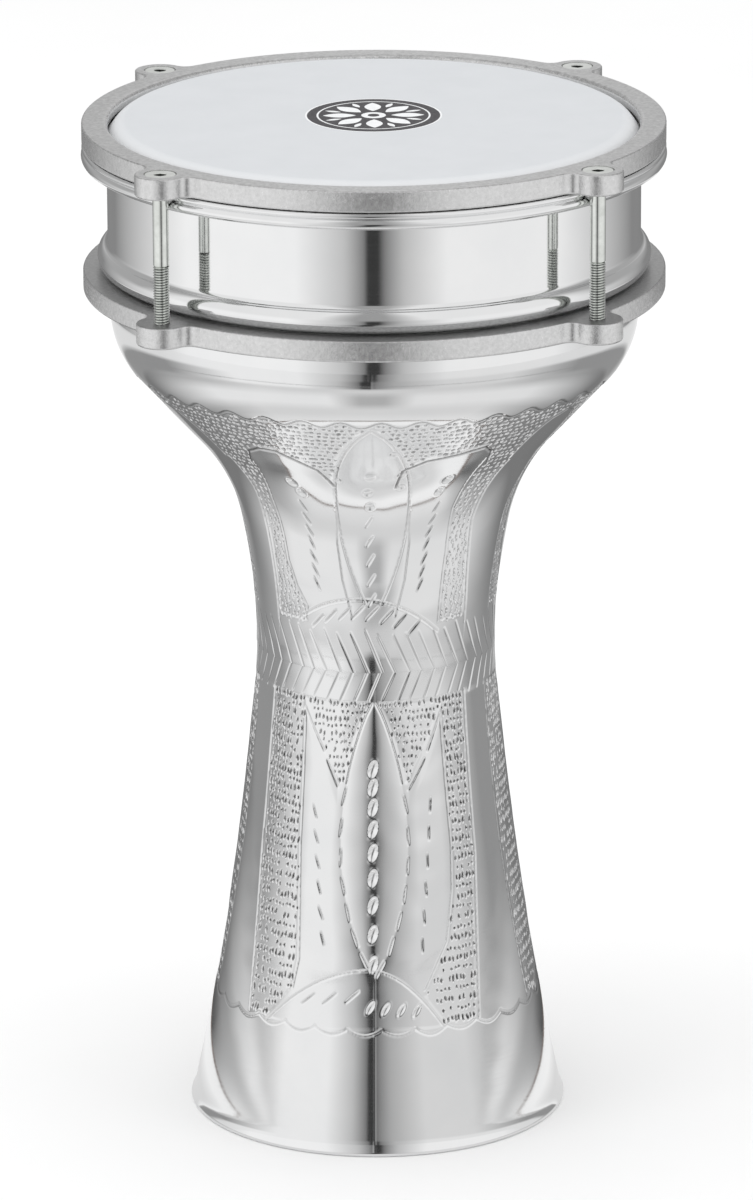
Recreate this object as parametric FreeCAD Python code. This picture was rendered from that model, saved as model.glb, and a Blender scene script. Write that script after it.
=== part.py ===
"""A metal darbuka (goblet drum): a spun aluminium shell in two halves, two cast rings, a film
head in an aluminium hoop and four countersunk tension screws. Millimetres, +Z up, origin at the
centre of the foot's resting face."""

import FreeCAD, Part
import math
import os

V = FreeCAD.Vector

# ---- driving dimensions (mm) ----
HEIGHT = 387.0                  # resting face to playing face
SHEET = 2.0                     # wall of the spun shell

# Outline of the shell's outer face, from the waist seam up and from the waist seam down.
# An arc is its radius and the angle from vertical at its end; a straight is its length.
WAIST_R = 45.3
BOWL_STEPS = [
    ("arc", 233.0, 12.7),
    ("arc", 69.5, 42.4),
    ("straight", 33.0),
    ("arc", 36.2, 0.0),
]
FOOT_STEPS = [
    ("arc", 150.0, 4.5),
    ("arc", 1268.0, 12.1),
    ("arc", 14.0, 30.0),
]
RIM_STEP = ("arc", 1.2, -90.0)  # rolls the foot's lower corner under
SPIGOT_LENGTH = 9.0             # the foot's inner sleeve inside the bowl's neck
SPIGOT_WALL = 1.5
SEAM_GAP = 0.05

# Collar, bead and bearing edge
COLLAR_R = 99.8
COLLAR_BOTTOM_Z = 342.2
STEP_R = 101.6
STEP_Z = 339.8
BEAD_R = 103.6
BEAD_Z = 335.0
COLLAR_TAPER_Z = 372.5
EDGE_CENTRE_R = 92.2            # centre of the bearing edge's rounding
EDGE_CURL = 120.0               # degrees of rounding, past the top of the edge

# Cast rings
RING_R = 109.1
RING_BORE_R = 99.4
RING_HEIGHT = 8.0
TOP_RING_Z = HEIGHT - 0.3       # top face of the tension ring
LOWER_RING_Z = 330.6            # top face of the tapped ring
RING_REBATE_R = 103.4           # clears the film and the hoop's lip
RING_LIP = 3.6                  # thickness of the lip above the rebate
RING_EDGE = 0.6
RING_FOOT_EDGE = 0.9
EAR_PITCH_R = 112.7
EAR_R = 9.5
EAR_BLEND = 4.5
EARS = 4

# Head
FILM = 0.4
FILM_BEND_R = 6.6
HOOP_R = 109.4
HOOP_BORE_R = 100.7
HOOP_TOP_Z = TOP_RING_Z - RING_HEIGHT - 0.3
HOOP_BOTTOM_Z = 372.0
HOOP_WALL = 1.1
HOOP_INNER_TOP_Z = 376.6
FILM_END_R = 102.9
FILM_END_Z = 374.2
RESIN_MENISCUS = 1.2            # how far the resin sinks beside the film
BADGE_R = 25.0
BADGE_RIM = 0.6
BADGE_Y = 3.5
BADGE_THICKNESS = 0.08

# M6 x 60 countersunk screws
SCREW_R = 3.0
SCREW_HEAD_R = 5.9
SCREW_HEAD_LAND = 0.4
SCREW_LENGTH = 60.0
SCREW_TOP_Z = TOP_RING_Z - 0.2
SOCKET_FLATS = 4.0
SOCKET_DEPTH = 2.3
TAPPED_R = 3.05
CLEARANCE_R = 3.3
SINK_GAP = 0.15


# ---- small helpers ----
def line(a, b):
    """A straight edge between two (radius, height) points."""
    return Part.LineSegment(V(a[0], 0, a[1]), V(b[0], 0, b[1])).toShape()


def arc(a, mid, b):
    """An arc edge through three (radius, height) points."""
    return Part.Arc(V(a[0], 0, a[1]), V(mid[0], 0, mid[1]), V(b[0], 0, b[1])).toShape()


def polar(centre, radius, degrees):
    """The (radius, height) point at an angle above horizontal on a circle about centre."""
    t = math.radians(degrees)
    return centre[0] + radius * math.cos(t), centre[1] + radius * math.sin(t)


def revolve(edges):
    """A full turn about the drum's axis of the section that these edges close."""
    section = Part.Face(Part.Wire(Part.__sortEdges__(edges)))
    return section.revolve(V(0, 0, 0), V(0, 0, 1), 360)


def polygon(points):
    """Straight edges round a list of (radius, height) points, closed."""
    return [line(a, b) for a, b in zip(points, points[1:] + points[:1])]


def ear_angles():
    return [45.0 + k * 360.0 / EARS for k in range(EARS)]


def at_ear(shape, degrees):
    """A copy of a shape built at the ear on +X, turned to the ear at this angle."""
    placed = shape.copy()
    placed.rotate(V(0, 0, 0), V(0, 0, 1), degrees)
    return placed


# ---- shell outline ----
def bend(start, step, way, inset=0.0):
    """One tangent arc or straight of the outline, as (its edge, where it ends).

    start and the end are (radius, height, lean) on the sheet's outer face, with lean the angle
    from vertical in degrees; way is +1 going up and -1 going down; inset moves the edge in."""
    r, z, lean = start

    def inside(point):
        t = math.radians(point[2])
        return point[0] - inset * math.cos(t), point[1] + way * inset * math.sin(t)

    def along(turned):
        a, b = math.radians(lean), math.radians(turned)
        sense = 1 if b > a else -1
        grown = sense * step[1] * (math.cos(a) - math.cos(b))
        risen = sense * step[1] * (math.sin(b) - math.sin(a))
        return r + grown, z + way * risen, turned

    if step[0] == "straight":
        t = math.radians(lean)
        end = (r + step[1] * math.sin(t), z + way * step[1] * math.cos(t), lean)
        return line(inside(start), inside(end)), end
    end = along(step[2])
    return arc(inside(start), inside(along((lean + step[2]) / 2)), inside(end)), end


def outline(steps, way, start_z, inset=0.0):
    """The edges of a run of bends that starts at the waist, and the point where it ends."""
    point, edges = (WAIST_R, start_z, 0.0), []
    for step in steps:
        edge, point = bend(point, step, way, inset)
        edges.append(edge)
    return edges, point


WAIST_Z = -outline(FOOT_STEPS + [RIM_STEP], -1, 0.0)[1][1]


def bowl_shell():
    """Upper half of the shell: neck, bowl, bead, collar and curled bearing edge."""
    outer, shoulder = outline(BOWL_STEPS, 1, WAIST_Z)
    inner, _ = outline(BOWL_STEPS, 1, WAIST_Z, SHEET)
    shoulder_r, shoulder_z = shoulder[:2]
    centre = (EDGE_CENTRE_R, HEIGHT - FILM_BEND_R)
    edge_r = FILM_BEND_R - FILM - 0.1
    curl_r = edge_r - SHEET
    under_bead = (shoulder_r + 0.3, LOWER_RING_Z + 0.1)
    collar_foot = (COLLAR_R, COLLAR_BOTTOM_Z)
    collar_top = (COLLAR_R, COLLAR_TAPER_Z)
    side = (centre[0] + edge_r, centre[1])
    outer += [
        line((shoulder_r, shoulder_z), (shoulder_r, under_bead[1])),
        line((shoulder_r, under_bead[1]), under_bead),
        arc(under_bead, (BEAD_R, BEAD_Z), (STEP_R, STEP_Z)),
        arc((STEP_R, STEP_Z), (STEP_R - 1.25, STEP_Z + 0.75), collar_foot),
        line(collar_foot, collar_top),
        line(collar_top, side),
        arc(side, polar(centre, edge_r, EDGE_CURL / 2), polar(centre, edge_r, EDGE_CURL)),
        line(polar(centre, edge_r, EDGE_CURL), polar(centre, curl_r, EDGE_CURL)),
    ]
    wall_r = shoulder_r - SHEET
    inner_side = (centre[0] + curl_r, centre[1])
    inner += [
        line((wall_r, shoulder_z), (wall_r, BEAD_Z - 4.0)),
        line((wall_r, BEAD_Z - 4.0), (COLLAR_R - SHEET, COLLAR_BOTTOM_Z)),
        line((COLLAR_R - SHEET, COLLAR_BOTTOM_Z), (COLLAR_R - SHEET, COLLAR_TAPER_Z)),
        line((COLLAR_R - SHEET, COLLAR_TAPER_Z), inner_side),
        arc(inner_side, polar(centre, curl_r, EDGE_CURL / 2), polar(centre, curl_r, EDGE_CURL)),
        line((WAIST_R - SHEET, WAIST_Z), (WAIST_R, WAIST_Z)),
    ]
    return revolve(outer + inner)


def foot_shell():
    """Lower half: a flared foot on a flat rolled rim, and a sleeve up inside the neck."""
    outer, flare = outline(FOOT_STEPS, -1, WAIST_Z)
    inner, _ = outline(FOOT_STEPS, -1, WAIST_Z, SHEET)
    rolled, rim = bend(flare, RIM_STEP, -1)
    t = math.radians(flare[2])
    inner_flare = (flare[0] - SHEET * math.cos(t), flare[1] - SHEET * math.sin(t))
    rest = [
        rolled,
        line((rim[0], rim[1]), (inner_flare[0], rim[1])),
        line((inner_flare[0], rim[1]), inner_flare),
    ]
    sleeve_r = WAIST_R - SHEET - SEAM_GAP
    sleeve = [
        (WAIST_R, WAIST_Z),
        (sleeve_r, WAIST_Z),
        (sleeve_r, WAIST_Z + SPIGOT_LENGTH),
        (sleeve_r - SPIGOT_WALL, WAIST_Z + SPIGOT_LENGTH),
        (sleeve_r - SPIGOT_WALL, WAIST_Z),
        (WAIST_R - SHEET, WAIST_Z),
    ]
    edges = outer + inner + rest
    edges += [line(a, b) for a, b in zip(sleeve, sleeve[1:])]
    return revolve(edges)


# ---- cast rings ----
def ring_blank(top_z, bore):
    """A ring with four round ears, blended into its wall and rounded along its edges."""
    bottom_z = top_z - RING_HEIGHT
    body = Part.makeCylinder(RING_R, RING_HEIGHT, V(0, 0, bottom_z))
    for angle in ear_angles():
        ear = Part.makeCylinder(EAR_R, RING_HEIGHT, V(EAR_PITCH_R, 0, bottom_z))
        body = body.fuse(at_ear(ear, angle))
    body = body.removeSplitter()
    uprights = [e for e in body.Edges if is_upright(e, RING_HEIGHT) and outside_seam(e)]
    body = body.makeFillet(EAR_BLEND, uprights)
    rims = [e for e in body.Edges if lies_at(e, top_z)]
    body = body.makeFillet(RING_EDGE, rims)
    rims = [e for e in body.Edges if lies_at(e, bottom_z)]
    body = body.makeFillet(RING_FOOT_EDGE, rims)
    return body.cut(bore)


def is_upright(edge, height):
    box = edge.BoundBox
    return abs(box.ZLength - height) < 1e-3 and box.XLength < 1e-3 and box.YLength < 1e-3


def outside_seam(edge):
    """True where two walls meet at an ear, not where one wall's surface closes on itself."""
    point = edge.Vertexes[0].Point
    reach = math.hypot(point.x, point.y)
    angle = math.degrees(math.atan2(point.y, point.x)) % 90.0
    return abs(reach - RING_R) < 1e-3 and 1.0 < abs(angle - 45.0) < 12.0


def lies_at(edge, z):
    box = edge.BoundBox
    return abs(box.ZMin - z) < 1e-4 and abs(box.ZMax - z) < 1e-4


def top_ring():
    """Tension ring: an inner lip over the film's shoulder, a rebate under it, countersunk ears."""
    bottom_z = TOP_RING_Z - RING_HEIGHT
    lip_z = TOP_RING_Z - RING_LIP
    lip_round = 1.6
    corner = (RING_BORE_R + lip_round, TOP_RING_Z - lip_round)
    bore = revolve([
        line((0, bottom_z - 1), (RING_REBATE_R, bottom_z - 1)),
        line((RING_REBATE_R, bottom_z - 1), (RING_REBATE_R, lip_z)),
        line((RING_REBATE_R, lip_z), (RING_BORE_R, lip_z)),
        line((RING_BORE_R, lip_z), (RING_BORE_R, corner[1])),
        arc((RING_BORE_R, corner[1]), polar(corner, lip_round, 135), (corner[0], TOP_RING_Z)),
        line((corner[0], TOP_RING_Z), (corner[0], TOP_RING_Z + 1)),
        line((corner[0], TOP_RING_Z + 1), (0, TOP_RING_Z + 1)),
        line((0, TOP_RING_Z + 1), (0, bottom_z - 1)),
    ])
    ring = ring_blank(TOP_RING_Z, bore)
    sink_r = SCREW_HEAD_R + SINK_GAP
    sink_bottom = SCREW_TOP_Z - SCREW_HEAD_LAND - (sink_r - CLEARANCE_R)
    hole = Part.makeCylinder(CLEARANCE_R, RING_HEIGHT + 2, V(EAR_PITCH_R, 0, bottom_z - 1))
    cone = Part.makeCone(CLEARANCE_R, sink_r, sink_r - CLEARANCE_R, V(EAR_PITCH_R, 0, sink_bottom))
    land = Part.makeCylinder(sink_r, 2.0, V(EAR_PITCH_R, 0, SCREW_TOP_Z - SCREW_HEAD_LAND))
    seat = hole.fuse(cone).fuse(land)
    for angle in ear_angles():
        ring = ring.cut(at_ear(seat, angle))
    return ring


def bottom_ring():
    """Tapped ring that bears up against the underside of the shell's bead."""
    bottom_z = LOWER_RING_Z - RING_HEIGHT
    bore = Part.makeCylinder(RING_BORE_R, RING_HEIGHT + 2, V(0, 0, bottom_z - 1))
    ring = ring_blank(LOWER_RING_Z, bore)
    hole = Part.makeCylinder(TAPPED_R, RING_HEIGHT + 2, V(EAR_PITCH_R, 0, bottom_z - 1))
    for angle in ear_angles():
        ring = ring.cut(at_ear(hole, angle))
    return ring


# ---- head ----
def film_path(inset):
    """Edges of one face of the film, from the axis out to its end in the hoop."""
    centre = (EDGE_CENTRE_R, HEIGHT - FILM_BEND_R)
    bend_r = FILM_BEND_R - inset
    end = (FILM_END_R - inset, HOOP_INNER_TOP_Z + 0.6)
    reach = math.hypot(end[0] - centre[0], end[1] - centre[1])
    slope = math.degrees(math.atan2(end[1] - centre[1], end[0] - centre[0]))
    leaves = slope + math.degrees(math.acos(bend_r / reach))
    top = (centre[0], centre[1] + bend_r)
    off = polar(centre, bend_r, leaves)
    foot = (end[0], FILM_END_Z)
    edges = [
        line((0, top[1]), top),
        arc(top, polar(centre, bend_r, (90 + leaves) / 2), off),
        line(off, end),
        line(end, foot),
    ]
    return edges, foot


def drumhead_film():
    """Playing face, its rounded shoulder, and the skirt that runs down into the hoop."""
    outer, outer_foot = film_path(0.0)
    inner, inner_foot = film_path(FILM)
    axis = line((0, HEIGHT), (0, HEIGHT - FILM))
    return revolve(outer + inner + [line(outer_foot, inner_foot), axis])


def drumhead_hoop():
    """Aluminium channel, open at the top, with a convex outer face."""
    top, bottom = HOOP_TOP_Z, HOOP_BOTTOM_Z
    round_r = 1.6
    lip_r = HOOP_R - round_r
    upper, lower = (lip_r, top - round_r), (lip_r, bottom + round_r)
    floor_z = bottom + HOOP_WALL
    return revolve([
        arc((lip_r, bottom), polar(lower, round_r, -45), (HOOP_R, lower[1])),
        line((HOOP_R, lower[1]), (HOOP_R, upper[1])),
        arc((HOOP_R, upper[1]), polar(upper, round_r, 45), (lip_r, top)),
        line((lip_r, top), (lip_r - 1.4, top)),
        line((lip_r - 1.4, top), (lip_r - 1.4, top - HOOP_WALL)),
        line((lip_r - 1.4, top - HOOP_WALL), (HOOP_R - HOOP_WALL - 0.6, top - HOOP_WALL)),
        line((HOOP_R - HOOP_WALL - 0.6, top - HOOP_WALL), (HOOP_R - HOOP_WALL - 0.6, floor_z)),
        line((HOOP_R - HOOP_WALL - 0.6, floor_z), (HOOP_BORE_R + HOOP_WALL, floor_z)),
        line((HOOP_BORE_R + HOOP_WALL, floor_z), (HOOP_BORE_R + HOOP_WALL, HOOP_INNER_TOP_Z)),
        line((HOOP_BORE_R + HOOP_WALL, HOOP_INNER_TOP_Z), (HOOP_BORE_R, HOOP_INNER_TOP_Z)),
        line((HOOP_BORE_R, HOOP_INNER_TOP_Z), (HOOP_BORE_R, bottom)),
        line((HOOP_BORE_R, bottom), (lip_r, bottom)),
    ])


def drumhead_resin(film):
    """Cast resin that fills the hoop's channel round the end of the film."""
    inner = HOOP_BORE_R + HOOP_WALL
    outer = HOOP_R - HOOP_WALL - 0.6
    floor_z = HOOP_BOTTOM_Z + HOOP_WALL
    shelf_z = HOOP_TOP_Z - HOOP_WALL
    fill = revolve(polygon([
        (inner, floor_z),
        (outer, floor_z),
        (outer, shelf_z),
        (inner + 0.3, shelf_z - RESIN_MENISCUS),
        (inner, HOOP_INNER_TOP_Z - 0.6),
    ]))
    return fill.cut(film)


def head_badge():
    """Round printed emblem with a thin outline, laid on the film just behind its centre."""
    return Part.makeCylinder(BADGE_R + BADGE_RIM, BADGE_THICKNESS, V(0, BADGE_Y, HEIGHT))


# ---- tension screws ----
def tension_screw(degrees):
    """M6 x 60 countersunk screw with a hexagon socket, its axis through one pair of ears."""
    tip_z = SCREW_TOP_Z - SCREW_LENGTH
    shank = Part.makeCylinder(SCREW_R, SCREW_LENGTH - 1.0, V(EAR_PITCH_R, 0, tip_z))
    shank = shank.makeChamfer(0.6, [e for e in shank.Edges if lies_at(e, tip_z)])
    cone_h = SCREW_HEAD_R - SCREW_R
    cone_z = SCREW_TOP_Z - SCREW_HEAD_LAND - cone_h
    cone = Part.makeCone(SCREW_R, SCREW_HEAD_R, cone_h, V(EAR_PITCH_R, 0, cone_z))
    land = Part.makeCylinder(SCREW_HEAD_R, SCREW_HEAD_LAND, V(EAR_PITCH_R, 0, cone_z + cone_h))
    corner_r = SOCKET_FLATS / math.sqrt(3)
    corners = [
        V(EAR_PITCH_R + corner_r * math.cos(k * math.pi / 3), corner_r * math.sin(k * math.pi / 3),
          SCREW_TOP_Z - SOCKET_DEPTH)
        for k in range(7)
    ]
    socket = Part.Face(Part.makePolygon(corners)).extrude(V(0, 0, SOCKET_DEPTH + 1))
    screw = shank.fuse(cone).fuse(land).removeSplitter().cut(socket)
    return at_ear(screw, degrees)


def main():
    os.makedirs("parts", exist_ok=True)
    film = drumhead_film()
    parts = {
        "bowl_shell": bowl_shell(),
        "foot_shell": foot_shell(),
        "bottom_ring": bottom_ring(),
        "top_ring": top_ring(),
        "drumhead_film": film,
        "drumhead_hoop": drumhead_hoop(),
        "drumhead_resin": drumhead_resin(film),
        "head_badge": head_badge(),
    }
    for k, angle in enumerate(ear_angles()):
        parts[f"tension_screw_{k + 1}"] = tension_screw(angle)
    for name, shape in parts.items():
        box = shape.BoundBox
        print(f"{name:18s} valid={shape.isValid()} solids={len(shape.Solids)} "
              f"volume={shape.Volume:.0f} z={box.ZMin:.2f}..{box.ZMax:.2f} x={box.XMax:.2f}")
        shape.exportStep(f"parts/{name}.step")


main()
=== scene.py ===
"""Finish, engraving, light and camera for the darbuka.

Lengths are in millimetres until a mesh is made, which is in metres. +Z is up, and angles round the
drum are in degrees from the front (-Y), growing towards +X."""

import math
import random

import bpy
import numpy as np
from mathutils import Matrix, Vector

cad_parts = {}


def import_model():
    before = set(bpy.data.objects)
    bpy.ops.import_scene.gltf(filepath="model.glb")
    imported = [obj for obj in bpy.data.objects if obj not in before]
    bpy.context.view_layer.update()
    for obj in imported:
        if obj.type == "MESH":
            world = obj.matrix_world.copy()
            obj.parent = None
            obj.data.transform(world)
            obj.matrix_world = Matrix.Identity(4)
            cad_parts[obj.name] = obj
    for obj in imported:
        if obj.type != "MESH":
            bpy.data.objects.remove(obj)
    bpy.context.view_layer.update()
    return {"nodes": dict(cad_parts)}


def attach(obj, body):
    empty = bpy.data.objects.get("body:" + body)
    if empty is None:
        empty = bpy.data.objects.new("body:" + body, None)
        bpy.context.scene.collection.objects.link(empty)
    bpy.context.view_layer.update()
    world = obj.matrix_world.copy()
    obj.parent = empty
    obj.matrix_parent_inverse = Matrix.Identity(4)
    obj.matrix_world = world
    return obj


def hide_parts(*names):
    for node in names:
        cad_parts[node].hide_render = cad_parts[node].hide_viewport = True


MM = 0.001

# ---- the shell's outline, as in the CAD source ----
WAIST_R = 45.3
BOWL_STEPS = [("arc", 233.0, 12.7), ("arc", 69.5, 42.4), ("straight", 33.0), ("arc", 36.2, 0.0)]
FOOT_STEPS = [("arc", 150.0, 4.5), ("arc", 1268.0, 12.1), ("arc", 14.0, 30.0)]
RIM_STEP = ("arc", 1.2, -90.0)
SHEET = 2.0
HEIGHT = 387.0
SPIGOT_LENGTH = 9.0
SPIGOT_WALL = 1.5
LOWER_RING_Z = 330.6
TOP_RING_Z = 386.7
COLLAR_R = 99.8
COLLAR_BOTTOM_Z = 342.2
COLLAR_TAPER_Z = 372.5
STEP_R = 101.6
STEP_Z = 339.8
BEAD_R = 103.6
BEAD_Z = 335.0
EDGE_CENTRE = (92.2, 380.4)
FILM = 0.4
FILM_BEND_R = 6.6
FILM_SIDE = (102.9, 377.2)
FILM_END_Z = 374.2
HOOP_R = 109.36
HOOP_BORE_R = 100.7
HOOP_BOTTOM_Z = 372.0
HOOP_TOP_Z = 378.4
HOOP_BORE_TOP_Z = 376.6
HOOP_CHANNEL_TOP_Z = 377.3
HOOP_CHANNEL_FLOOR_Z = 373.1
EAR_PITCH_R = 112.7
SCREW_R = 3.0
SCREW_HEAD_R = 5.9
SCREW_HEAD_LAND = 0.4
SCREW_LENGTH = 60.0
SCREW_TOP_Z = TOP_RING_Z - 0.2
SOCKET_FLATS = 4.0
SOCKET_DEPTH = 2.3
SHANK_R = 2.94                  # a shade under the thread's crests
THREAD_TOP_Z = 352.0
THREAD_PITCH = 1.0
THREAD_DEPTH = 0.55
BADGE_Y = 3.5
BADGE_R = 25.0
BADGE_RIM = 0.6
BADGE_LINE = (20.6, 21.3)       # radii of the thin ring round the rosette

# ---- mesh resolution ----
COLUMNS = 1280                  # round the engraved shell
ROW = 0.45                      # along it, where it is engraved
PLAIN_ROW = 1.6
PLAIN_COLUMNS = 360

# ---- layout of the engraving: one panel, three times round ----
PANELS = 3
PANEL = 360.0 / PANELS
PANEL_LEFT = -64.0              # where a panel begins, in its own angles
PANEL_RIGHT = PANEL_LEFT + PANEL
FACING = -1.35                  # the first panel's own zero, which is where the camera stands
LEAF_AXIS = -1.0
WAIST_CREASE_Z = 184.5
CHEVRON_TOP_Z = 200.5
CHEVRON_BOTTOM_Z = 174.0
CHEVRONS = 54
SCALLOP_Z = 47.6
SCALLOPS = 30
STRIPE_TOP_Z = 268.0            # where the side stripes end and the tongue begins to round off
TONGUE_TALL = 20.0
CROWN_Z = 293.6                 # wavy upper end of the engraving
CROWN_WAVES = 39


# ---- outlines ----
def trace(steps, way, start_z):
    """Close samples of a run of bends from the waist: distance along, radius, height, lean."""
    samples = [(0.0, WAIST_R, start_z, 0.0)]
    for step in steps:
        s0, r0, z0, lean0 = samples[-1]
        for k in range(1, 401):
            u = k / 400
            if step[0] == "straight":
                t = math.radians(lean0)
                away, up, lean = u * step[1] * math.sin(t), u * step[1] * math.cos(t), lean0
                far = u * step[1]
            else:
                lean = lean0 + u * (step[2] - lean0)
                a, b = math.radians(lean0), math.radians(lean)
                sense = 1 if b > a else -1
                away = sense * step[1] * (math.cos(a) - math.cos(b))
                up = sense * step[1] * (math.sin(b) - math.sin(a))
                far = step[1] * abs(b - a)
            samples.append((s0 + far, r0 + away, z0 + way * up, lean))
    return np.array(samples)


WAIST_Z = -trace(FOOT_STEPS + [RIM_STEP], -1, 0.0)[-1][2]


def arc3(a, m, b, count):
    """Points along the arc through three (radius, height) points, ends included."""
    (ax, ay), (bx, by), (cx, cy) = a, m, b
    d = 2 * (ax * (by - cy) + bx * (cy - ay) + cx * (ay - by))
    ux = ((ax**2 + ay**2) * (by - cy) + (bx**2 + by**2) * (cy - ay) + (cx**2 + cy**2) * (ay - by)) / d
    uy = ((ax**2 + ay**2) * (cx - bx) + (bx**2 + by**2) * (ax - cx) + (cx**2 + cy**2) * (bx - ax)) / d
    radius = math.hypot(ax - ux, ay - uy)
    t = [math.atan2(y - uy, x - ux) for x, y in (a, m, b)]
    turn = (t[2] - t[0]) % (2 * math.pi)
    if (t[1] - t[0]) % (2 * math.pi) > turn:
        turn -= 2 * math.pi
    return [(ux + radius * math.cos(t[0] + turn * k / count),
             uy + radius * math.sin(t[0] + turn * k / count)) for k in range(count + 1)]


def around(centre, radius, start, end, count):
    """Points on a circle about centre between two angles above horizontal, in degrees."""
    angles = np.radians(np.linspace(start, end, count + 1))
    return [(centre[0] + radius * math.cos(t), centre[1] + radius * math.sin(t)) for t in angles]


def subdivided(points, longest):
    """The same corners with extra points, so that no stretch is longer than this."""
    out = [points[0]]
    for a, b in zip(points, points[1:]):
        count = max(1, math.ceil(math.dist(a, b) / longest))
        out += [(a[0] + (b[0] - a[0]) * k / count, a[1] + (b[1] - a[1]) * k / count)
                for k in range(1, count + 1)]
    return out


# ---- meshes ----
def add_object(name, data):
    made = bpy.data.objects.new(name, data)
    bpy.context.scene.collection.objects.link(made)
    return made


class Build:
    """Vertices and faces of one piece, gathered from several sheets."""

    def __init__(self):
        self.points, self.faces, self.worked, self.sunk = [], [], [], []
        self.count = 0

    def grid(self, xyz, round_closed=True, flip=False, worked=None, sunk=None):
        """A sheet from an array of rows x columns x 3, in millimetres."""
        rows, columns = xyz.shape[:2]
        index = np.arange(rows * columns).reshape(rows, columns) + self.count
        right = np.roll(index, -1, axis=1)
        if not round_closed:
            index, right = index[:, :-1], index[:, 1:]
        quads = np.stack([index[:-1], right[:-1], right[1:], index[1:]], axis=-1).reshape(-1, 4)
        self.faces.append(quads[:, ::-1] if flip else quads)
        self.points.append(xyz.reshape(-1, 3))
        for store, values in ((self.worked, worked), (self.sunk, sunk)):
            store.append(np.zeros(rows * columns) if values is None else values.reshape(-1))
        self.count += rows * columns

    def lathe(self, section, columns=PLAIN_COLUMNS, flip=False):
        """A turned sheet from (radius, height) points; outer faces run from low to high."""
        phi = np.linspace(0, 2 * np.pi, columns, endpoint=False)
        r = np.array([p[0] for p in section])[:, None]
        z = np.array([p[1] for p in section])[:, None]
        xyz = np.stack([r * np.sin(phi), -r * np.cos(phi), z + 0 * phi], axis=-1)
        self.grid(xyz, flip=flip)

    def piece(self, name, body, material, stands_for=(), crease=35.0):
        points = np.concatenate(self.points) * MM
        faces = np.concatenate(self.faces)
        mesh = bpy.data.meshes.new(name)
        mesh.vertices.add(len(points))
        mesh.vertices.foreach_set("co", points.astype(np.float32).ravel())
        mesh.loops.add(faces.size)
        mesh.loops.foreach_set("vertex_index", faces.astype(np.int32).ravel())
        mesh.polygons.add(len(faces))
        mesh.polygons.foreach_set("loop_start", np.arange(0, faces.size, 4, dtype=np.int32))
        mesh.update(calc_edges=True)
        mesh.validate()
        for label, stored in (("worked", self.worked), ("sunk", self.sunk)):
            layer = mesh.attributes.new(label, "FLOAT", "POINT")
            layer.data.foreach_set("value", np.concatenate(stored).astype(np.float32))
        mesh.shade_smooth()
        mesh.set_sharp_from_angle(angle=math.radians(crease))
        mesh.materials.append(material)
        obj = add_object(name, mesh)
        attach(obj, body)
        if stands_for:
            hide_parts(*stands_for)
        return obj


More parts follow.
